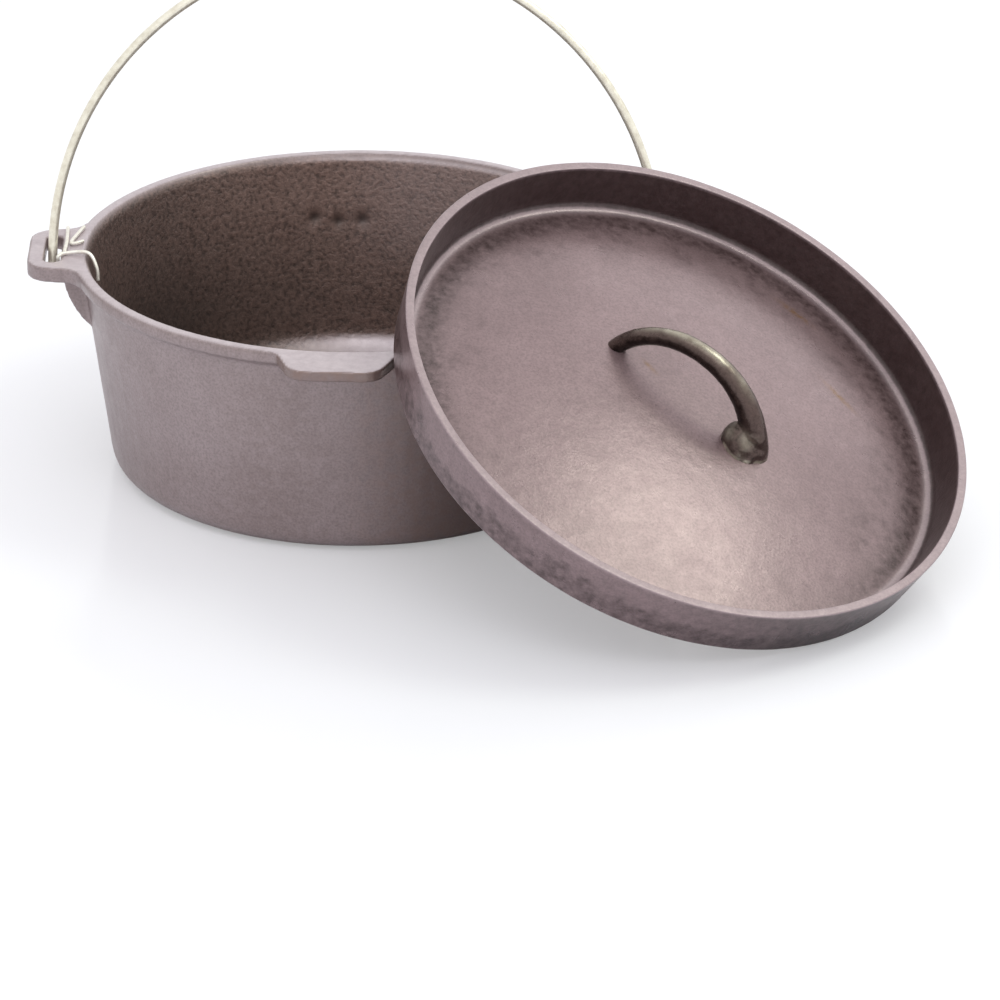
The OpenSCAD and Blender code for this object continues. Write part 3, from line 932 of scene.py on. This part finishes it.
# Floor, light and camera
WHITE = (1, 1, 1)
FLOOR_HALF = 4.0
FLOOR_Z = -0.0003
FLOOR_TONE = (0.935, 0.94, 1.0)
FLOOR_ROUGH = 0.15
FLOOR_GLOW = 0.3
WORLD_STRENGTH = 1.02
LID_AIM = (0.17, -0.2, 0.05)
POT_AIM = (0.08, -0.08, 0.06)
CAMERA_PLACE = (0.02427, -2.72063, 1.18597)
CAMERA_YAW = 1.106
CAMERA_PITCH = 24.054
CAMERA_ROLL = 0.3144
CAMERA_LENS = 198.39
CAMERA_SENSOR = 36
CAMERA_CLIP = (0.1, 50)


def floor_white():
    """A white backdrop, which the camera sees a little brighter than it is lit."""
    nodes = Nodes("floor_white")
    nodes.set_shader(Base_Color=FLOOR_TONE, Roughness=FLOOR_ROUGH)
    glow = nodes.add("ShaderNodeEmission")
    nodes.feed(glow.inputs["Color"], WHITE)
    seen = nodes.add("ShaderNodeLightPath").outputs["Is Camera Ray"]
    blend = nodes.add("ShaderNodeMixShader")
    nodes.feed(blend.inputs["Fac"], nodes.math("MULTIPLY", seen, FLOOR_GLOW))
    nodes.feed(blend.inputs[1], nodes.shader.outputs["BSDF"])
    nodes.feed(blend.inputs[2], glow.outputs["Emission"])
    nodes.feed(nodes.output.inputs["Surface"], blend.outputs["Shader"])
    return nodes.material


def add_floor():
    mesh = bpy.data.meshes.new("floor_mesh")
    corners = [(FLOOR_HALF * x, FLOOR_HALF * y, 0) for x, y in ((-1, -1), (1, -1), (1, 1), (-1, 1))]
    mesh.from_pydata(corners, [], [(0, 1, 2, 3)])
    mesh.materials.append(floor_white())
    floor = bpy.data.objects.new("floor", mesh)
    floor.location.z = FLOOR_Z
    bpy.context.scene.collection.objects.link(floor)


def add_world():
    world = bpy.data.worlds.new("studio")
    bpy.context.scene.world = world
    world.use_nodes = True
    background = world.node_tree.nodes["Background"]
    background.inputs["Color"].default_value = (*WHITE, 1)
    background.inputs["Strength"].default_value = WORLD_STRENGTH


def softbox(name, place, aim, size, power, colour=WHITE):
    data = bpy.data.lights.new(name, "AREA")
    data.shape = "RECTANGLE"
    data.size, data.size_y = size
    data.energy = power
    data.color = colour
    lamp = bpy.data.objects.new(name, data)
    lamp.location = place
    lamp.rotation_euler = (Vector(aim) - Vector(place)).to_track_quat("-Z", "Y").to_euler()
    bpy.context.scene.collection.objects.link(lamp)


def add_camera():
    data = bpy.data.cameras.new("camera")
    data.sensor_fit = "HORIZONTAL"
    data.sensor_width = CAMERA_SENSOR
    data.lens = CAMERA_LENS
    data.clip_start, data.clip_end = CAMERA_CLIP
    yaw, pitch, roll = (math.radians(a) for a in (CAMERA_YAW, CAMERA_PITCH, CAMERA_ROLL))
    forward = Vector((math.sin(yaw) * math.cos(pitch), math.cos(yaw) * math.cos(pitch), -math.sin(pitch)))
    level = Vector((math.cos(yaw), -math.sin(yaw), 0))
    rise = level.cross(forward)
    right = math.cos(roll) * level + math.sin(roll) * rise
    up = math.cos(roll) * rise - math.sin(roll) * level
    turn = Matrix((right, up, -forward)).transposed().to_4x4()
    camera = bpy.data.objects.new("camera", data)
    camera.matrix_world = Matrix.Translation(CAMERA_PLACE) @ turn
    bpy.context.scene.collection.objects.link(camera)
    bpy.context.scene.camera = camera


add_pot()
add_lid()
add_lid_handle()
add_bail()
add_tie()
add_floor()
add_world()
softbox("over_right", (1.09, -0.07, 1.48), LID_AIM, size=(0.66, 0.66), power=6, colour=(0.93, 1.0, 0.86))
softbox("back_right", (1.13, 1.17, 1.14), LID_AIM, size=(1.0, 0.8), power=1.5)
softbox("over_front", (0.1, -1.2, 1.7), POT_AIM, size=(1.2, 1.0), power=4)
add_camera()
bpy.context.scene.view_settings.view_transform = "Standard"
